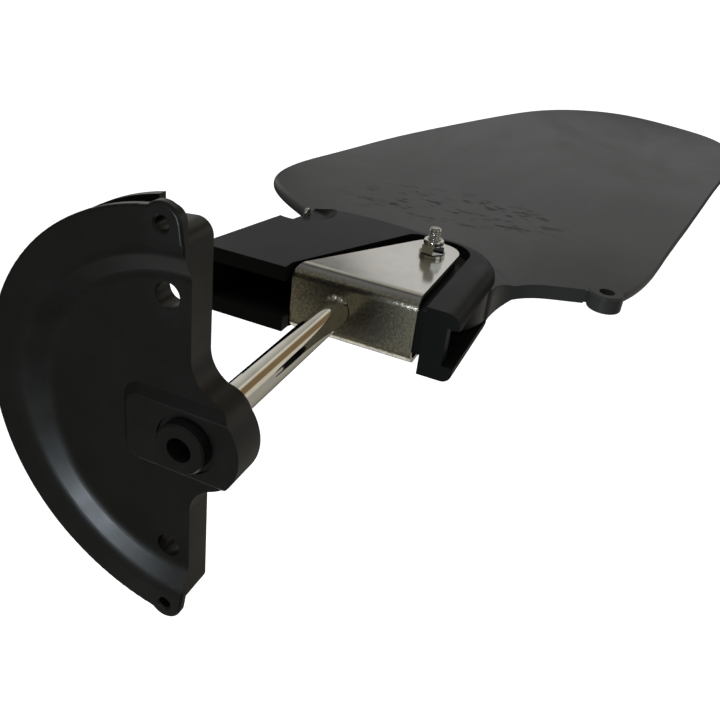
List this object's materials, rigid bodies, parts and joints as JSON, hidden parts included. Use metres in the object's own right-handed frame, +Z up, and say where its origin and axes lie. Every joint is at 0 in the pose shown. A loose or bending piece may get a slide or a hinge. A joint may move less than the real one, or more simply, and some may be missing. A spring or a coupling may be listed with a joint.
{
  "type": "rudder blade",
  "caption": "Kick-up rudder for a small boat: a moulded blade pivots in a slotted holder on a steel bracket and shaft, steered by a half-round rope quadrant.",
  "frame": {"origin": "on the shaft's axis, in the outer face of the bracket's web", "axes": "+Z up along the shaft to the quadrant, +X aft, +Y starboard; the blade hangs down, along -Z"},
  "size_m": [0.2789, 0.1522, 0.7007],
  "materials": {
    "black_moulding": "satin, moulded",
    "grey_moulding": "mottled, scuffed",
    "polished_steel": "polished along its length",
    "bracket_steel": "satin, handled",
    "weld_metal": "as welded",
    "fastener_steel": "bright",
    "nylon": "natural",
    "acetal": "natural"
  },
  "bodies": {
    "steering_head": {"steering_quadrant": "black_moulding", "rudder_shaft": "polished_steel", "shaft_weld": "weld_metal", "shaft_bracket": "bracket_steel", "blade_holder": "black_moulding", "line_eye": "fastener_steel", "pivot_bolt": "fastener_steel", "nut_washer": "fastener_steel", "pivot_nut": "fastener_steel", "nut_insert": "nylon", "pivot_bush": "acetal", "thrust_washer_starboard": "acetal", "thrust_washer_port": "acetal"},
    "blade": {"rudder_blade": "grey_moulding"}
  },
  "joints": [
    {"name": "blade_hinge", "type": "hinge", "parent": "steering_head", "child": "blade", "pos_m": [0.0245, 0, -0.0483], "axis": [0, -1, 0], "range_deg": [0, 90]}
  ]
}
